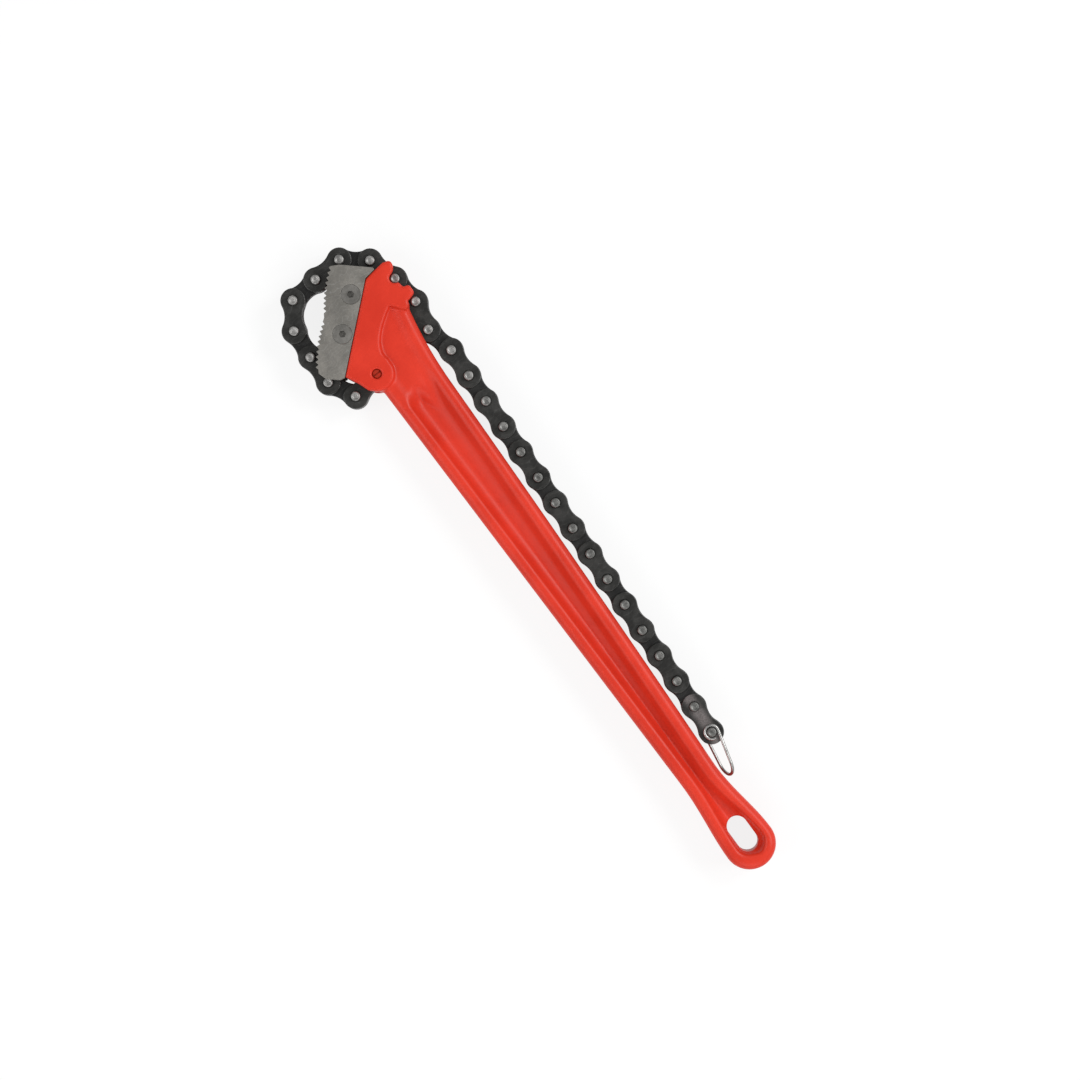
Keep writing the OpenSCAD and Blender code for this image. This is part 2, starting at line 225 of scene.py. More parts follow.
def skin(F, origin, h):
    """A closed skin of quads on the zero level of a field on a grid."""
    low = F < 0
    n = np.array(F.shape) - 1
    count = np.zeros(n, np.int8)
    corners = [(i, j, k) for i in (0, 1) for j in (0, 1) for k in (0, 1)]
    for i, j, k in corners:
        count += low[i:n[0] + i, j:n[1] + j, k:n[2] + k]
    active = (count > 0) & (count < 8)
    cell = np.argwhere(active)
    index = np.full(n, -1, np.int64)
    index[active] = np.arange(len(cell))
    total = np.zeros((len(cell), 3))
    number = np.zeros(len(cell))
    value = {c: F[cell[:, 0] + c[0], cell[:, 1] + c[1], cell[:, 2] + c[2]] for c in corners}
    for a in corners:
        for axis in range(3):
            if a[axis]:
                continue
            b = tuple(1 if k == axis else a[k] for k in range(3))
            fa, fb = value[a], value[b]
            hit = (fa < 0) != (fb < 0)
            t = np.where(hit, fa / np.where(hit, fa - fb, 1), 0)
            p = np.tile(np.array(a, float), (len(cell), 1))
            p[:, axis] = t
            total[hit] += p[hit]
            number[hit] += 1
    verts = origin + h * (cell + total / number[:, None])
    faces = []
    for axis in range(3):
        u, v = (axis + 1) % 3, (axis + 2) % 3
        a = [slice(None)] * 3
        b = [slice(None)] * 3
        a[axis], b[axis] = slice(0, -1), slice(1, None)
        change = low[tuple(a)] != low[tuple(b)]
        at = np.argwhere(change)
        at = at[(at[:, u] > 0) & (at[:, v] > 0) & (at[:, u] < n[u]) & (at[:, v] < n[v])]
        quad = []
        for du, dv in ((1, 1), (0, 1), (0, 0), (1, 0)):
            c = at.copy()
            c[:, u] -= du
            c[:, v] -= dv
            quad.append(index[c[:, 0], c[:, 1], c[:, 2]])
        quad = np.stack(quad, 1)
        inner = low[at[:, 0], at[:, 1], at[:, 2]]
        quad[~inner] = quad[~inner][:, ::-1]
        faces.append(quad)
    return verts, np.concatenate(faces)


# The handle casting

def mix(a, b, t):
    return a + (b - a) * t


def ease(t):
    t = np.clip(t, 0, 1)
    return t * t * (3 - 2 * t)


def along(x):
    return (x - 30) / 286


def flare(x):
    return ease((x - 316) / (EYE_X - 316))


def low_edge(x):
    return mix(mix(-3, 1.2, along(x)), EYE_Y - EYE_R, flare(x))


def high_edge(x):
    t = along(x)
    grip = mix(-3, 1.2, t) + mix(37, 24.3, t) + 2.8 * t * (1 - t)
    return mix(grip, EYE_Y + EYE_R, flare(x)) + 5.5 * np.clip((30 - x) / 54, 0, 1) ** 2


def handle_ring():
    up = np.linspace(-24, EYE_X, 80, endpoint=False)
    dn = np.linspace(EYE_X, 4, 80)[1:]
    t = np.radians(np.linspace(90, -90, 41))
    return np.concatenate([
        np.stack([up, high_edge(up)], 1),
        np.stack([EYE_X + EYE_R * np.cos(t), EYE_Y + EYE_R * np.sin(t)], 1),
        np.stack([dn, low_edge(dn)], 1), [[-12, 5], [-34, 14], [-34, 34]]])


WEB_END = HANG_X + (HANG_LEN - HANG_W) / 2


def web_ring():
    up = np.linspace(-31, WEB_END, 80)
    top, bot = high_edge(up) - mix(RIM_HIGH, RIM_LOW, flare(up)), low_edge(up) + RIM_LOW
    c = np.array([WEB_END, (top[-1] + bot[-1]) / 2])
    t = np.radians(np.linspace(90, -90, 25))[1:-1]
    r = (top[-1] - bot[-1]) / 2
    end = np.stack([c[0] + r * np.cos(t), c[1] + r * np.sin(t)], 1)
    keep = up > 4
    return np.concatenate([np.stack([up, top], 1), end, np.stack([up, bot], 1)[keep][::-1], [[-31, 12]]])


SLOPE = math.radians(48)
JAW_O = np.array([-42.0, 6.0])
SEAT_F, JAW_DEPTH, JAW_LEN, LOBE_R = -8.5, 22.5, 73.0, 80.0
TOOTH_F = SEAT_F + JAW_DEPTH
JAW_HALF = JAW_LEN / 2
JAW_SHIFT, FRONT_FALL = 5.5, math.radians(4.3)
JAW_TOP, JAW_END = JAW_SHIFT - JAW_HALF, JAW_SHIFT + JAW_HALF
TOOTH_PITCH, TOOTH_DEPTH = 3.2, 1.4
SCREW_A, SCREW_F = (-12.0, 13.0), -1.5


def jaw_pt(a, f):
    """A point by its place along the jaw and out towards the teeth."""
    run = np.array([math.cos(SLOPE), -math.sin(SLOPE)])
    out = np.array([math.sin(SLOPE), math.cos(SLOPE)])
    return JAW_O + a * run - f * out


def ridge():
    p = np.array([[-29, 31], [-20, 15], [-11, 8.5], [-3, 10.4]], float)
    t = np.linspace(0, 1, 25)[:, None]
    return p[0] * (1 - t) ** 3 + 3 * p[1] * t * (1 - t) ** 2 + 3 * p[2] * t * t * (1 - t) + p[3] * t ** 3


# Roundings, the lean of the recess's walls, and the room left for the chain
OUTER_EDGE, RECESS_EDGE, CHEEK_EDGE, CHEEK_FOOT = 5.0, 1.6, 1.5, 1.6
LOW_WALL, HIGH_WALL, HIGH_WALL_END = 0.34, 0.9, 0.5
LOW_WALL_IN, HIGH_WALL_AT = 0.8, 9.0
LOW_FOOT, HIGH_FOOT = 5.0, 3.5
NOTCH_ROOM, CHAIN_ROOM = 0.35, 0.5


def casting_field(h):
    """The casting's field on a grid of step h: (values, lowest corner)."""
    lo = np.array([-58.0, -20.0, -2.0])
    hi = np.array([EYE_X + EYE_R + 2, 54.0, HEAD_T + 2])
    size = np.ceil((hi - lo) / h).astype(int) + 1
    xs, ys, zs = (lo[k] + h * np.arange(size[k]) for k in range(3))
    X, Y = np.meshgrid(xs, ys, indexing="ij")
    Z = np.abs(zs - MID)[None, None, :]
    flat = lambda d: d[:, :, None].astype(np.float32)

    p8, p9, p10 = PINS[8], PINS[9], PINS[10]
    outline = field_polygon(handle_ring(), X, Y)
    bar = round_max(flat(outline), Z - RIM_W / 2, OUTER_EDGE)

    # the recess: a steep wall on the lower rim, a long easy one on the upper, and a ramp up to the head
    web = field_polygon(web_ring(), X, Y)
    upper = ease((Y - (low_edge(X) + high_edge(X)) / 2) / 8 + 0.5)
    easy = mix(HIGH_WALL, HIGH_WALL_END, np.clip((X - 80) / 220, 0, 1))
    slope = flat(mix(LOW_WALL, easy, upper * (1 - flare(X))))
    start = flat(mix(RIM_W / 2, HIGH_WALL_AT, upper))
    wall = (flat(web + LOW_WALL_IN * (1 - upper)) + slope * (start - Z)) / np.sqrt(1 + slope ** 2)
    ramp = 1 - ease((0.86 * X + 0.5 * (Y - 12) - 15) / mix(12, 26, upper))
    floor = flat(mix(WEB_T, HEAD_WEB_T, ramp) / 2) - Z
    recess = round_max(wall, floor, flat(mix(LOW_FOOT, HIGH_FOOT, upper)))
    bar = cut(bar, recess, RECESS_EDGE)

    # the cheeks with the boss, the horn and the hook tooth
    cheek = field_polygon(np.concatenate([
        [jaw_pt(JAW_END - 3.6, SEAT_F), jaw_pt(-23, SEAT_F), jaw_pt(-27, SEAT_F - 2.4)],
        [p9 + [-12, 0], p9 + [-10.4, 2], p9 + [-7.4, 3.9], p9, p9 + [7.4, 1], p9 + [9.2, 4.8]],
        [p9 + [13, 4.8], p9 + [16, 1.5], p9 + [16, -1.5], p9 + [19, -2.6], [-21, 37.5]],
        ridge(), [[0, 0], [5, -9.4], [-1.5, -12.6]]]), X, Y)
    for c, r in ((p9 + [-8.6, 1.4], 2.7), (p9 + [10.4, 2.4], 2.4), (p9 + [12.6, 2.4], 2.4)):
        cheek = np.minimum(cheek, field_circle(c, r, X, Y))
    cheek = round_min(cheek, field_circle((0, 0), 10.8, X, Y), 2.0)
    pad = round_max(flat(cheek), Z - HEAD_T / 2, CHEEK_EDGE)
    body = round_min(bar, pad, CHEEK_FOOT)

    # the tongue between the jaws
    t0, t1, tf = -18.0, 19.0, 4.5
    tongue = field_polygon([jaw_pt(t0 - 2, SEAT_F - 4), jaw_pt(t0, tf - 4), jaw_pt(t0 + 4, tf),
                            jaw_pt(t1 - 4, tf), jaw_pt(t1, tf - 4), jaw_pt(t1 + 2, SEAT_F - 4)], X, Y)
    body = np.minimum(body, round_max(flat(tongue), Z - TONGUE_T / 2 + 0.05, 0.4))

    # the hanging slot, the notch with the second pin seat, the fork's slots and the bores
    half = (HANG_LEN - HANG_W) / 2
    hang = np.hypot(np.maximum(np.abs(X - HANG_X) - half, 0), Y - EYE_Y) - HANG_W / 2
    body = cut(body, flat(hang), 1.0)
    notch_r = PIN_R + NOTCH_ROOM
    swing = PITCH - notch_r
    notch = field_polygon([p9 + [-9, 0], p9 + [notch_r, 0], p9 + [notch_r + 3.4, 9], p9 + [-9, 9]], X, Y)
    notch = np.maximum(notch, -field_circle(p8, swing, X, Y))
    notch = np.minimum(notch, field_circle(p9, notch_r, X, Y))
    tail = field_polygon([p10 + [-9, 0], p10 + [11, 0], p10 + [11, 12], p10 + [-9, 12]], X, Y)
    tail = np.maximum(tail, -field_circle(p9, swing, X, Y))
    tail = np.minimum(tail, field_circle(p10, notch_r, X, Y))
    body = cut(body, flat(np.minimum(notch, tail)), 0.7)
    drop = np.array([0, LOBE + CHAIN_ROOM])
    top = [PINS[k] - drop for k in (8, 9, 10, 11, 12)]
    channel = field_polygon([top[0] - [30, 0], *top, top[-1] + [12, 2], PINS[12] + [12, 40], p8 + [-30, 40]], X, Y)
    r = LOBE + CHAIN_ROOM
    mouth = np.minimum(field_circle((0, 0), r, X, Y),
                       field_polygon([[-r, 0], [r, 0], [r + 5, -40], [-r - 16, -40]], X, Y))
    body = cut(body, np.maximum(flat(np.minimum(channel, mouth)), Z - FORK_W / 2), 0.5)
    body = cut(body, flat(field_circle((0, 0), PIN_R + TURNING_BORE, X, Y)), 0.5)
    below = zs[None, None, :]
    nut_seat = np.maximum(flat(field_circle((0, 0), 6.4, X, Y)), below - 4.8)
    body = cut(body, nut_seat, 0.4)
    for a in SCREW_A:
        body = np.maximum(body, -flat(field_circle(jaw_pt(a, SCREW_F), 4.2, X, Y)))
    return body, lo


grid = 0.75
field, corner = casting_field(grid)
casting = new_object("handle_casting", *skin(field, corner, grid))
del field

# The jaw plates

def jaw_ring():
    """The jaw's outline with its two curved rows of teeth."""
    teeth = math.floor((JAW_HALF - 6) / TOOTH_PITCH)
    turn = TOOTH_PITCH / LOBE_R
    fall = np.array([[math.cos(FRONT_FALL), math.sin(FRONT_FALL)], [-math.sin(FRONT_FALL), math.cos(FRONT_FALL)]])
    seat = SEAT_F + 0.1
    top_end = lambda f: JAW_TOP + 2.4 + (f - 9) * 2.6 / (TOOTH_F - 7)
    low_end = lambda f: JAW_END - (f - 3) * 6 / (TOOTH_F - 1)
    front = []
    for s in (-1, 1):
        lobe = []
        for k in range(teeth + 1):
            for off, r in ((-0.43, 0.0), (-0.06, -TOOTH_DEPTH), (0.06, -TOOTH_DEPTH), (0.43, 0.0)):
                t = (teeth / 2 - k - off) * turn
                bow = LOBE_R + r
                lobe.append([JAW_SHIFT + s * JAW_HALF / 2 - bow * math.sin(t), bow * math.cos(t) - LOBE_R])
        lobe = np.array(lobe) @ fall.T + [0, TOOTH_F]
        keep = (lobe[:, 0] < JAW_SHIFT - 0.15) if s < 0 else (lobe[:, 0] > JAW_SHIFT + 0.15)
        keep &= (lobe[:, 0] > top_end(lobe[:, 1]) + 0.3) & (lobe[:, 0] < low_end(lobe[:, 1]) - 0.3)
        front.append(lobe[keep])
    dip = (front[0][-1] + front[1][0]) / 2 - [0, 0.5]
    f0, f1 = front[0][0][1] - 0.6, front[1][-1][1] - 0.6
    back = [[low_end(f1), f1], [JAW_END, 3], [JAW_END - 1, seat + 2.5], [JAW_END - 3, seat], [-23.6, seat],
            [JAW_TOP + 1, seat - 4.2], [JAW_TOP, seat - 3.2], [JAW_TOP + 2.4, 9], [top_end(f0), f0]]
    return np.array([jaw_pt(a, f) for a, f in np.concatenate([front[0], [dip], front[1], back])])


SCREW_HEAD_R = 6.1
JAW_EDGE = [(0.36, 0), (0.3, 0), (0.09, 0.09), (0, 0.3)]
jaw_outline = jaw_ring()
jaw_pieces = {}
for name, z0 in (("jaw_near", MID + TONGUE_T / 2), ("jaw_far", 0.0)):
    holes = [circle(jaw_pt(a, SCREW_F), SCREW_HEAD_R, 48) for a in SCREW_A]
    ob = new_object(name + "_plate", *plate(jaw_outline, holes, z0, z0 + JAW_T, JAW_EDGE))
    sharp_by_angle(ob, 28)
    jaw_pieces[name] = ob

# The chain: waisted plates, riveted pins and the wire ring

def plate_ring(a, b):
    """A plate's outline: two round ends joined by two hollow arcs."""
    w = PLATE_WAIST / 2
    R = ((PITCH / 2) ** 2 + w * w - LOBE ** 2) / (PLATE_H - PLATE_WAIST)
    cy = R + w
    touch = math.atan2(cy, PITCH / 2)
    end = np.linspace(touch, 2 * np.pi - touch, 23)
    left = np.stack([LOBE * np.cos(end), LOBE * np.sin(end)], 1)
    lean = math.pi / 2 - touch
    sag = np.linspace(-lean, lean, 11)[1:-1]
    lower = np.stack([PITCH / 2 + R * np.sin(sag), -cy + R * np.cos(sag)], 1)
    right = np.array([PITCH, 0]) - left
    upper = np.array([PITCH, 0]) - lower
    ring = np.concatenate([left, lower, right, upper])
    u = unit(b - a)
    return a + ring[:, :1] * u + ring[:, 1:] * np.array([-u[1], u[0]])


def layer(n):
    """The lower face of the stack's nth plate."""
    return MID - STACK / 2 + n * (PLATE_T + PLATE_GAP)


PLATE_EDGE = [(0.8, 0), (0.55, 0), (0.28, 0.08), (0.08, 0.28), (0, 0.6)]
links = {}
for i in range(1, LINKS + 1):
    a, b = PINS[i - 1], PINS[i]
    outer = i % 2 == 1
    rows = ([0, 4] if i == LINKS else [0, 2, 4]) if outer else [1, 3]
    ring = plate_ring(a, b)
    room = TIGHT_BORE if outer else TURNING_BORE
    bores = [circle(p, (PIN_R + room) / math.cos(math.pi / BORE_SIDES), BORE_SIDES) for p in (a, b)]
    parts = [plate(ring, bores, layer(n), layer(n) + PLATE_T, PLATE_EDGE) for n in rows]
    node = ("outer_link_%02d" if outer else "inner_link_%02d") % i
    ob = new_object("chain_plates_%02d" % i, *joined(parts))
    sharp_by_angle(ob, 50)
    links[i] = (ob, node)


def pin_profile():
    """A pin with a bevelled, slightly dished end where it was riveted."""
    z0, z1 = MID - PIN_LEN / 2, MID + PIN_LEN / 2
    end = [(0, 0.35), (0.9, 0.33), (1.5, 0.22), (1.9, 0.05), (2.15, 0.0), (2.45, 0.06),
           (2.75, 0.3), (2.93, 0.62), (PIN_R, 1.0)]
    low = [(r, z0 + d) for r, d in end]
    return low + [(r, z1 - d) for r, d in end[::-1]]


pins = {}
for i in range(1, LINKS + 1, 2):
    at = [PINS[1]] if i == 1 else [PINS[i - 1], PINS[i]]
    pins[i] = new_object("chain_pins_%02d" % i, *joined([lathe(pin_profile(), p) for p in at]))

WIRE_R, RING_REACH, RING_TIP_R, RING_LEAN, EYE_TURN = 1.0, 21.0, 3.2, math.radians(-10), math.radians(290)


def ring_path():
    """The wire's middle line: an eye on the upper end of the last pin, a leg, the bend, and the same below."""
    r, z = PIN_R + WIRE_R + 0.2, STACK / 2 + WIRE_R + 0.15
    side = math.acos((r - RING_TIP_R) / RING_REACH)
    eye = np.linspace(side + EYE_TURN, side, 49)
    pts = [(r * math.cos(t), r * math.sin(t), z) for t in eye]
    run = RING_REACH * math.sin(side)
    for k in np.linspace(0, run, 19)[1:]:
        pts.append((r * math.cos(side) + k * math.sin(side), r * math.sin(side) - k * math.cos(side), z))
    cx, cy = RING_REACH + RING_TIP_R * math.cos(side), RING_TIP_R * math.sin(side)
    bend = math.hypot(cy, z)
    for t in np.radians(np.linspace(90, 0, 16))[1:]:
        pts.append((cx + bend * math.cos(t), cy * math.sin(t), z * math.sin(t)))
    pts = np.array(pts)
    pts = np.concatenate([pts, pts[-2::-1] * [1, -1, -1]])
    u = unit(PINS[27] - PINS[26])
    c, s = math.cos(RING_LEAN), math.sin(RING_LEAN)
    u = np.array([u[0] * c - u[1] * s, u[0] * s + u[1] * c])
    v = np.array([-u[1], u[0]])
    flat = PINS[27] + pts[:, :1] * u + pts[:, 1:2] * v
    return np.column_stack([flat, MID + pts[:, 2]])


def tube(path, r, n=20):
    """A wire along a path, with its two ends cut off and their edges broken."""
    d = np.gradient(path, axis=0)
    d /= np.linalg.norm(d, axis=1)[:, None]
    side = np.cross(d[0], [0, 0, 1.0])
    t = np.linspace(0, 2 * np.pi, n, endpoint=False)
    rings = []
    for k, (p, e) in enumerate(zip(path, d)):
        side = unit(side - (side @ e) * e)
        over = np.cross(e, side)
        spoke = np.cos(t)[:, None] * side + np.sin(t)[:, None] * over
        if k == 0:
            rings += [p + 0.75 * r * spoke, p + 0.25 * r * e + r * spoke]
        elif k == len(path) - 1:
            rings += [p - 0.25 * r * e + r * spoke, p + 0.75 * r * spoke]
        else:
            rings.append(p + r * spoke)
    m = len(rings)
    verts = np.concatenate(rings + [path[:1], path[-1:]])
    faces = [(k * n + i, k * n + (i + 1) % n, (k + 1) * n + (i + 1) % n, (k + 1) * n + i)
             for k in range(m - 1) for i in range(n)]
    faces += [((i + 1) % n, i, m * n) for i in range(n)]
    faces += [((m - 1) * n + i, (m - 1) * n + (i + 1) % n, m * n + 1) for i in range(n)]
    return verts, faces


wire = new_object("wire_ring", *tube(ring_path(), WIRE_R))
sharp_by_angle(wire, 40)

# Materials

def group(name, ins, outs):
    g = bpy.data.node_groups.new(name, "ShaderNodeTree")
    for n, kind, value in ins:
        s = g.interface.new_socket(name=n, in_out="INPUT", socket_type=kind)
        s.default_value = value
    for n, kind in outs:
        g.interface.new_socket(name=n, in_out="OUTPUT", socket_type=kind)
    return g, g.nodes.new("NodeGroupInput"), g.nodes.new("NodeGroupOutput")


def add(tree, kind, links=None, **values):
    n = tree.nodes.new(kind)
    for k, v in values.items():
        setattr(n, k, v)
    for k, v in (links or {}).items():
        s = n.inputs[k]
        if isinstance(v, bpy.types.NodeSocket):
            tree.links.new(v, s)
        else:
            s.default_value = v
    return n


def math_node(tree, op, a, b=None, c=None, clamp=False):
    n = tree.nodes.new("ShaderNodeMath")
    n.operation = op
    n.use_clamp = clamp
    for k, v in enumerate((a, b, c)):
        if v is None:
            continue
        if isinstance(v, bpy.types.NodeSocket):
            tree.links.new(v, n.inputs[k])
        else:
            n.inputs[k].default_value = v
    return n.outputs[0]


def spread(tree, value, lo, hi, a, b):
    """A value eased from the range lo..hi to a..b."""
    n = add(tree, "ShaderNodeMapRange", {"Value": value, "From Min": lo, "From Max": hi, "To Min": a, "To Max": b},
            interpolation_type="SMOOTHSTEP")
    return n.outputs[0]


def blend(tree, factor, a, b):
    n = tree.nodes.new("ShaderNodeMix")
    n.data_type = "RGBA"
    for k, v in ((0, factor), (6, a), (7, b)):
        if isinstance(v, bpy.types.NodeSocket):
            tree.links.new(v, n.inputs[k])
        else:
            n.inputs[k].default_value = v if k == 0 else (*v, 1)
    return n.outputs[2]


def noise(tree, vector, scale, detail=4, rough=0.55):
    n = add(tree, "ShaderNodeTexNoise", {"Vector": vector, "Scale": scale, "Detail": detail, "Roughness": rough})
    return n.outputs[0]


def make_patches():
    """Broad soft patches and fine specks, both 0 to 1."""
    g, i, o = group("patches", [("Broad", "NodeSocketFloat", 30.0), ("Fine", "NodeSocketFloat", 400.0)],
                    [("Patch", "NodeSocketFloat"), ("Speck", "NodeSocketFloat")])
    at = add(g, "ShaderNodeTexCoord").outputs["Object"]
    broad = noise(g, at, i.outputs["Broad"], 5, 0.6)
    fine = noise(g, at, i.outputs["Fine"], 3, 0.6)
    g.links.new(spread(g, broad, 0.3, 0.7, 0, 1), o.inputs["Patch"])
    g.links.new(spread(g, fine, 0.35, 0.65, 0, 1), o.inputs["Speck"])
    return g


def make_skin():
    """Height of a sprayed coat over a sand-cast surface: fine ripple, soft waves and pits."""
    g, i, o = group("coat_height", [("Ripple", "NodeSocketFloat", 900.0), ("Cast", "NodeSocketFloat", 140.0)],
                    [("Height", "NodeSocketFloat")])
    at = add(g, "ShaderNodeTexCoord").outputs["Object"]
    ripple = noise(g, at, i.outputs["Ripple"], 2, 0.4)
    cast = noise(g, at, i.outputs["Cast"], 6, 0.6)
    pits = add(g, "ShaderNodeTexVoronoi", {"Vector": at, "Scale": 420.0}).outputs["Distance"]
    pits = spread(g, pits, 0.0, 0.35, -0.4, 0)
    h = math_node(g, "MULTIPLY_ADD", ripple, 0.35, math_node(g, "MULTIPLY", cast, 0.9))
    g.links.new(math_node(g, "ADD", h, math_node(g, "MULTIPLY", pits, 0.3)), o.inputs["Height"])
    return g


def make_mill():
    """Height of a rolled or ground steel face: fine streaks one way, with scratches."""
    g, i, o = group("steel_height", [("Streak", "NodeSocketVector", (300.0, 3000.0, 300.0))],
                    [("Height", "NodeSocketFloat"), ("Scratch", "NodeSocketFloat")])
    at = add(g, "ShaderNodeTexCoord").outputs["Object"]
    m = add(g, "ShaderNodeVectorMath", {0: at, 1: i.outputs["Streak"]}, operation="MULTIPLY").outputs[0]
    streak = noise(g, m, 1.0, 4, 0.65)
    g.links.new(streak, o.inputs["Height"])
    w = add(g, "ShaderNodeTexWave", {"Vector": at, "Scale": 90.0, "Distortion": 14.0, "Detail": 3.0})
    g.links.new(spread(g, w.outputs["Fac"], 0.97, 1.0, 0, 1), o.inputs["Scratch"])
    return g


PATCHES, SKIN, MILL = make_patches(), make_skin(), make_mill()


def use(tree, g, **values):
    n = tree.nodes.new("ShaderNodeGroup")
    n.node_tree = g
    for k, v in values.items():
        n.inputs[k].default_value = v
    return n


def material(name, **sockets):
    m = bpy.data.materials.new(name)
    m.use_nodes = True
    t = m.node_tree
    p = t.nodes["Principled BSDF"]
    for k, v in sockets.items():
        p.inputs[k.replace("_", " ")].default_value = v
    return m, t, p


def bump(tree, shader, height, strength, distance):
    b = add(tree, "ShaderNodeBump", {"Height": height, "Strength": strength, "Distance": distance})
    tree.links.new(b.outputs[0], shader.inputs["Normal"])


def red_enamel():
    m, t, p = material("red_enamel", Coat_Weight=0.06, Coat_Roughness=0.25, Specular_IOR_Level=0.2)
    a = use(t, PATCHES, Broad=26.0, Fine=700.0)
    tone = blend(t, a.outputs["Patch"], (0.52, 0.026, 0.011), (0.62, 0.034, 0.0145))
    tone = blend(t, math_node(t, "MULTIPLY", a.outputs["Speck"], 0.16), tone, (0.46, 0.022, 0.011))
    t.links.new(tone, p.inputs["Base Color"])
    t.links.new(spread(t, a.outputs["Patch"], 0, 1, 0.38, 0.5), p.inputs["Roughness"])
    s = use(t, SKIN)
    bump(t, p, s.outputs["Height"], 0.35, 0.0006)
    return m


def jaw_steel():
    m, t, p = material("jaw_steel", Metallic=0.55)
    a = use(t, PATCHES, Broad=60.0, Fine=900.0)
    k = use(t, MILL)
    tone = blend(t, a.outputs["Patch"], (0.155, 0.147, 0.132), (0.235, 0.222, 0.2))
    tone = blend(t, math_node(t, "MULTIPLY", a.outputs["Speck"], 0.3), tone, (0.11, 0.11, 0.105))
    tone = blend(t, math_node(t, "MULTIPLY", k.outputs["Scratch"], 0.25), tone, (0.34, 0.34, 0.33))
    t.links.new(tone, p.inputs["Base Color"])
    t.links.new(spread(t, a.outputs["Patch"], 0, 1, 0.5, 0.64), p.inputs["Roughness"])
    bump(t, p, k.outputs["Height"], 0.25, 0.0002)
    return m


def chain_black(name, dark, pale, grey_line=None):
    """Blackened plate steel; the optional last argument gives two points of a line along which the plates are made
    greyer, in a soft band.
    """
    m, t, p = material(name, Metallic=0.35, Coat_Weight=0.2, Coat_Roughness=0.2)
    a = use(t, PATCHES, Broad=120.0, Fine=1200.0)
    k = use(t, MILL)
    tone = blend(t, a.outputs["Patch"], dark, pale)
    tone = blend(t, math_node(t, "MULTIPLY", k.outputs["Scratch"], 0.2), tone, (0.1, 0.1, 0.095))
    if grey_line:
        # a soft band along the line through the two points turns greyer, broken up by the specks
        u = unit(grey_line[1] - grey_line[0])
        n = np.array([-u[1], u[0]])
        at = add(t, "ShaderNodeTexCoord").outputs["Object"]
        off = add(t, "ShaderNodeVectorMath", {0: at, 1: (n[0], n[1], 0)}, operation="DOT_PRODUCT").outputs["Value"]
        off = math_node(t, "ABSOLUTE", math_node(t, "SUBTRACT", off, float(n @ grey_line[0]) * MM))
        paler = spread(t, off, 0.001, 0.0055, 1, 0)
        paler = math_node(t, "MULTIPLY", paler, spread(t, a.outputs["Speck"], 0, 1, 1, 0.6))
        tone = blend(t, paler, tone, (0.17, 0.152, 0.149))
    t.links.new(tone, p.inputs["Base Color"])
    t.links.new(spread(t, a.outputs["Patch"], 0, 1, 0.3, 0.5), p.inputs["Roughness"])
    bump(t, p, a.outputs["Speck"], 0.2, 0.0001)
    return m


def pin_steel():
    m, t, p = material("pin_steel", Metallic=0.8)
    a = use(t, PATCHES, Broad=300.0, Fine=2500.0)
    k = use(t, MILL)
    # the pin ends are paler towards the head, at small X, and darker along the run of the chain
    at = add(t, "ShaderNodeSeparateXYZ", {0: add(t, "ShaderNodeTexCoord").outputs["Object"]}).outputs["X"]
    paler = spread(t, at, -0.02, 0.12, 1, 0)
    dull = blend(t, a.outputs["Patch"], (0.1, 0.1, 0.096), (0.2, 0.199, 0.19))
    keen = blend(t, a.outputs["Patch"], (0.24, 0.236, 0.228), (0.4, 0.392, 0.38))
    tone = blend(t, paler, dull, keen)
    tone = blend(t, math_node(t, "MULTIPLY", a.outputs["Speck"], 0.3), tone, (0.1, 0.1, 0.095))
    t.links.new(tone, p.inputs["Base Color"])
    t.links.new(spread(t, a.outputs["Patch"], 0, 1, 0.36, 0.5), p.inputs["Roughness"])
    bump(t, p, k.outputs["Height"], 0.15, 0.0001)
    return m


def bright_wire():
    m, t, p = material("bright_wire", Metallic=1.0)
    a = use(t, PATCHES, Broad=200.0, Fine=1800.0)
    k = use(t, MILL)
    tone = blend(t, a.outputs["Patch"], (0.28, 0.278, 0.27), (0.44, 0.435, 0.425))
    t.links.new(tone, p.inputs["Base Color"])
    t.links.new(spread(t, a.outputs["Speck"], 0, 1, 0.3, 0.44), p.inputs["Roughness"])
    bump(t, p, k.outputs["Height"], 0.1, 0.0001)
    return m


def screw_steel():
    m, t, p = material("screw_steel", Metallic=0.6)
    a = use(t, PATCHES, Broad=150.0, Fine=1500.0)
    k = use(t, MILL)
    tone = blend(t, a.outputs["Patch"], (0.13, 0.125, 0.115), (0.2, 0.192, 0.178))
    t.links.new(tone, p.inputs["Base Color"])
    t.links.new(spread(t, a.outputs["Patch"], 0, 1, 0.42, 0.56), p.inputs["Roughness"])
    bump(t, p, k.outputs["Height"], 0.2, 0.0001)
    return m


def bolt_paint():
    m, t, p = material("bolt_paint", Specular_IOR_Level=0.15)
    a = use(t, PATCHES, Broad=300.0, Fine=1400.0)
    tone = blend(t, a.outputs["Patch"], (0.27, 0.014, 0.004), (0.4, 0.02, 0.006))
    tone = blend(t, math_node(t, "MULTIPLY", a.outputs["Speck"], 0.4), tone, (0.14, 0.03, 0.015))
    t.links.new(tone, p.inputs["Base Color"])
    t.links.new(spread(t, a.outputs["Patch"], 0, 1, 0.4, 0.6), p.inputs["Roughness"])
    s = use(t, SKIN)
    bump(t, p, s.outputs["Height"], 0.3, 0.0003)
    return m
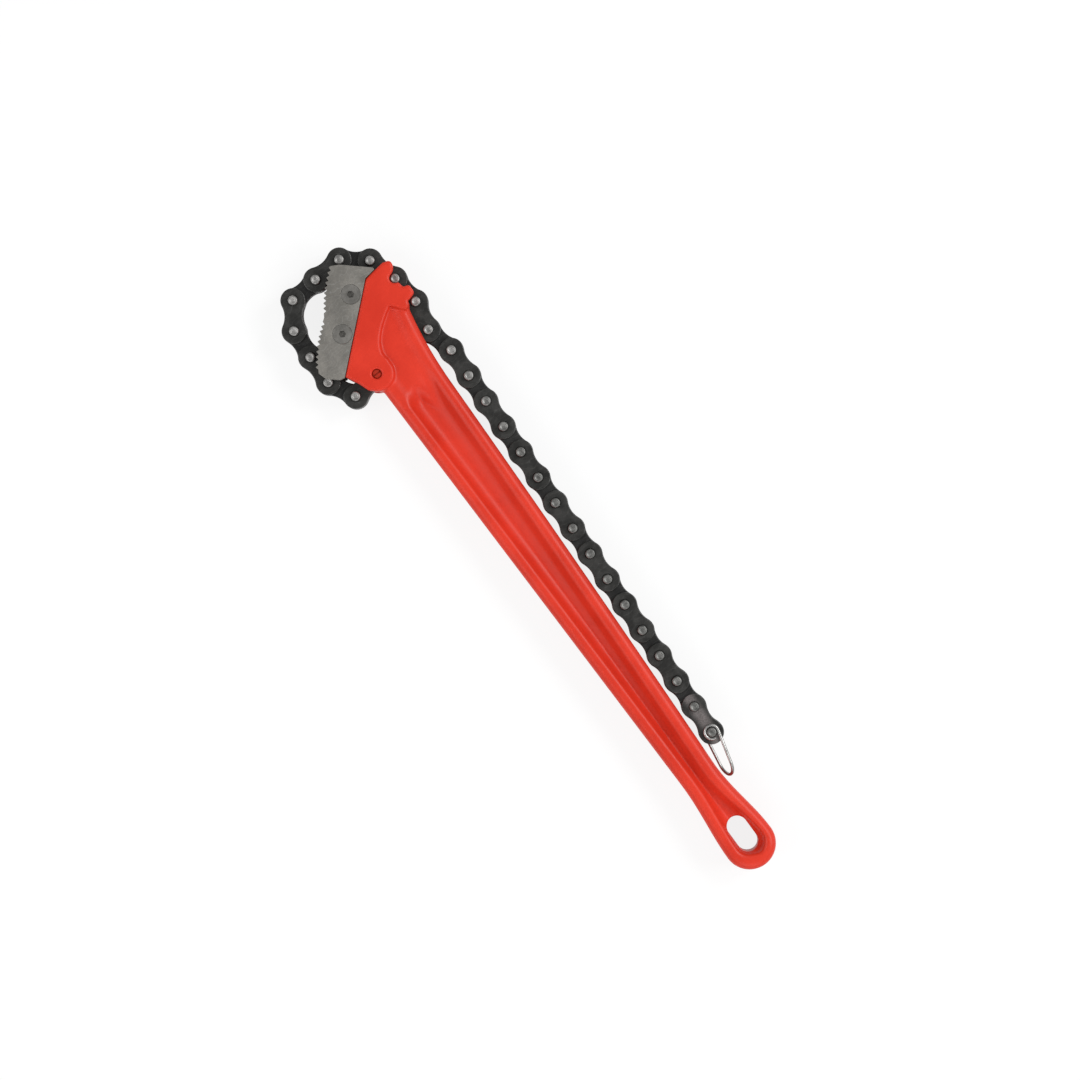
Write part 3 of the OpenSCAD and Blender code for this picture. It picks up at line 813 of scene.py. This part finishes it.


# The blackened plates come in two tones: the inner links' plates, lower in the stack, get darker tones as painted
# shade, and the outer links' plates on top get lighter tones as painted light.
INNER_SHADED_TONES = (0.007, 0.007, 0.0068), (0.014, 0.0138, 0.013)
FINISH = {
    "red_paint": red_enamel(),
    "jaw_steel": jaw_steel(),
    "chain_black": chain_black("chain_black", *INNER_SHADED_TONES),
    "pin_steel": pin_steel(),
    "bright_wire": bright_wire(),
    "screw_steel": screw_steel(),
}
PAINTED_BOLT = bolt_paint()
OUTER_LIT_TONES = (0.014, 0.0139, 0.0128), (0.026, 0.0256, 0.0236)
LIT_OUTER_PLATES = chain_black("chain_black_outer_lit", *OUTER_LIT_TONES)
# the end link: the lighter outer tone, and greyer in a band along the line between its two pins
END_PLATES = chain_black("chain_black_end", *OUTER_LIT_TONES, grey_line=(PINS[26], PINS[27]))


def dress(ob, body, slot, *stands_for):
    """Gives a piece its finish, hangs it on its body and hides the solids it stands for."""
    ob.data.materials.clear()
    ob.data.materials.append(FINISH[slot])
    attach(ob, body)
    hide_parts(*stands_for)


dress(casting, "handle", "red_paint", "handle")
for name, ob in jaw_pieces.items():
    dress(ob, "handle", "jaw_steel", name)
for i, (ob, node) in links.items():
    dress(ob, "link_%02d" % i, "chain_black", node)
    # odd links are outer links and take the lighter tone, painted light; the even, inner links keep the darker tone,
    # painted shade
    if i % 2:
        ob.data.materials[0] = END_PLATES if i == LINKS else LIT_OUTER_PLATES
for i, ob in pins.items():
    dress(ob, "link_%02d" % i, "pin_steel", "link_pins_%02d" % i)
dress(wire, "ring", "bright_wire", "pull_ring")

for name in ("jaw_screws", "jaw_sleeves", "anchor_bolt", "anchor_nut"):
    finish = PAINTED_BOLT if name == "anchor_bolt" else FINISH["screw_steel"]
    for s in nodes[name].material_slots:
        s.material = finish

# Stage: pale floor, soft lights, the camera straight above

FLOOR_HALF, FLOOR_Z = 3000, -0.05


def floor():
    """A pale floor that takes the wrench's shadow and fades to white far out."""
    corners = [(x * FLOOR_HALF, y * FLOOR_HALF, FLOOR_Z) for x, y in ((-1, -1), (1, -1), (1, 1), (-1, 1))]
    ob = new_object("floor", corners, [(0, 1, 2, 3)], False)
    m = bpy.data.materials.new("floor_white")
    m.use_nodes = True
    t = m.node_tree
    p = t.nodes["Principled BSDF"]
    out = t.nodes["Material Output"]
    p.inputs["Base Color"].default_value = (0.86, 0.86, 0.86, 1)
    p.inputs["Roughness"].default_value = 0.9
    glow = add(t, "ShaderNodeEmission", {"Color": (1, 1, 1, 1), "Strength": 1.0})
    path = add(t, "ShaderNodeLightPath")
    seen = math_node(t, "MAXIMUM", path.outputs["Is Camera Ray"], path.outputs["Is Glossy Ray"])
    seen = math_node(t, "MAXIMUM", seen, path.outputs["Is Transmission Ray"])
    at = add(t, "ShaderNodeTexCoord").outputs["Object"]
    far = add(t, "ShaderNodeVectorMath", {0: at}, operation="LENGTH").outputs["Value"]
    share = math_node(t, "MULTIPLY", seen, spread(t, far, 0.7, 1.6, 0.85, 1.0))
    both = add(t, "ShaderNodeMixShader", {0: share, 1: p.outputs[0], 2: glow.outputs[0]})
    t.links.new(both.outputs[0], out.inputs["Surface"])
    ob.data.materials.append(m)


floor()

# The picture's right and up, and the point at its middle
RIGHT = np.array([0.59172245, 0.80614176, 0.0])
UP = np.array([-0.80614176, 0.59172245, 0.0])
AIM = np.array([142.0, 20.45, MID])


def lamp(name, right, up, height, size, watts):
    """A soft square lamp placed by the picture's right and up, in millimetres, aimed at the wrench."""
    d = bpy.data.lights.new(name, "AREA")
    d.shape = "SQUARE"
    d.size = size * MM
    d.energy = watts
    ob = bpy.data.objects.new(name, d)
    at = Vector((AIM + RIGHT * right + UP * up + np.array([0, 0, height])) * MM)
    ob.location = at
    ob.rotation_euler = (Vector(AIM * MM) - at).to_track_quat("-Z", "Y").to_euler()
    bpy.context.scene.collection.objects.link(ob)


lamp("key", 1120, 700, 1400, 700, 18)
lamp("side", 1400, -80, 1150, 600, 10.5)
lamp("fill", -1200, -300, 1000, 1200, 12)
lamp("low", 200, -1300, 900, 1000, 7)

world = bpy.data.worlds.new("studio")
bpy.context.scene.world = world
world.use_nodes = True
w = world.node_tree
back = w.nodes["Background"]
back.inputs["Color"].default_value = (1, 1, 1, 1)
path = add(w, "ShaderNodeLightPath")
seen = math_node(w, "MAXIMUM", path.outputs["Is Camera Ray"], path.outputs["Is Transmission Ray"])
w.links.new(spread(w, seen, 0, 1, 0.4, 1.0), back.inputs["Strength"])

LENS, SENSOR, PICTURE_W = 100, 36, 670.1
cam = bpy.data.cameras.new("camera")
cam.lens = LENS
cam.sensor_width = SENSOR
cam_ob = bpy.data.objects.new("camera", cam)
distance = PICTURE_W * LENS / SENSOR
cam_ob.location = (AIM[0] * MM, AIM[1] * MM, (MID + distance) * MM)
cam_ob.rotation_euler = (0, 0, math.atan2(RIGHT[1], RIGHT[0]))
bpy.context.scene.collection.objects.link(cam_ob)
bpy.context.scene.camera = cam_ob
bpy.context.scene.view_settings.view_transform = "Standard"
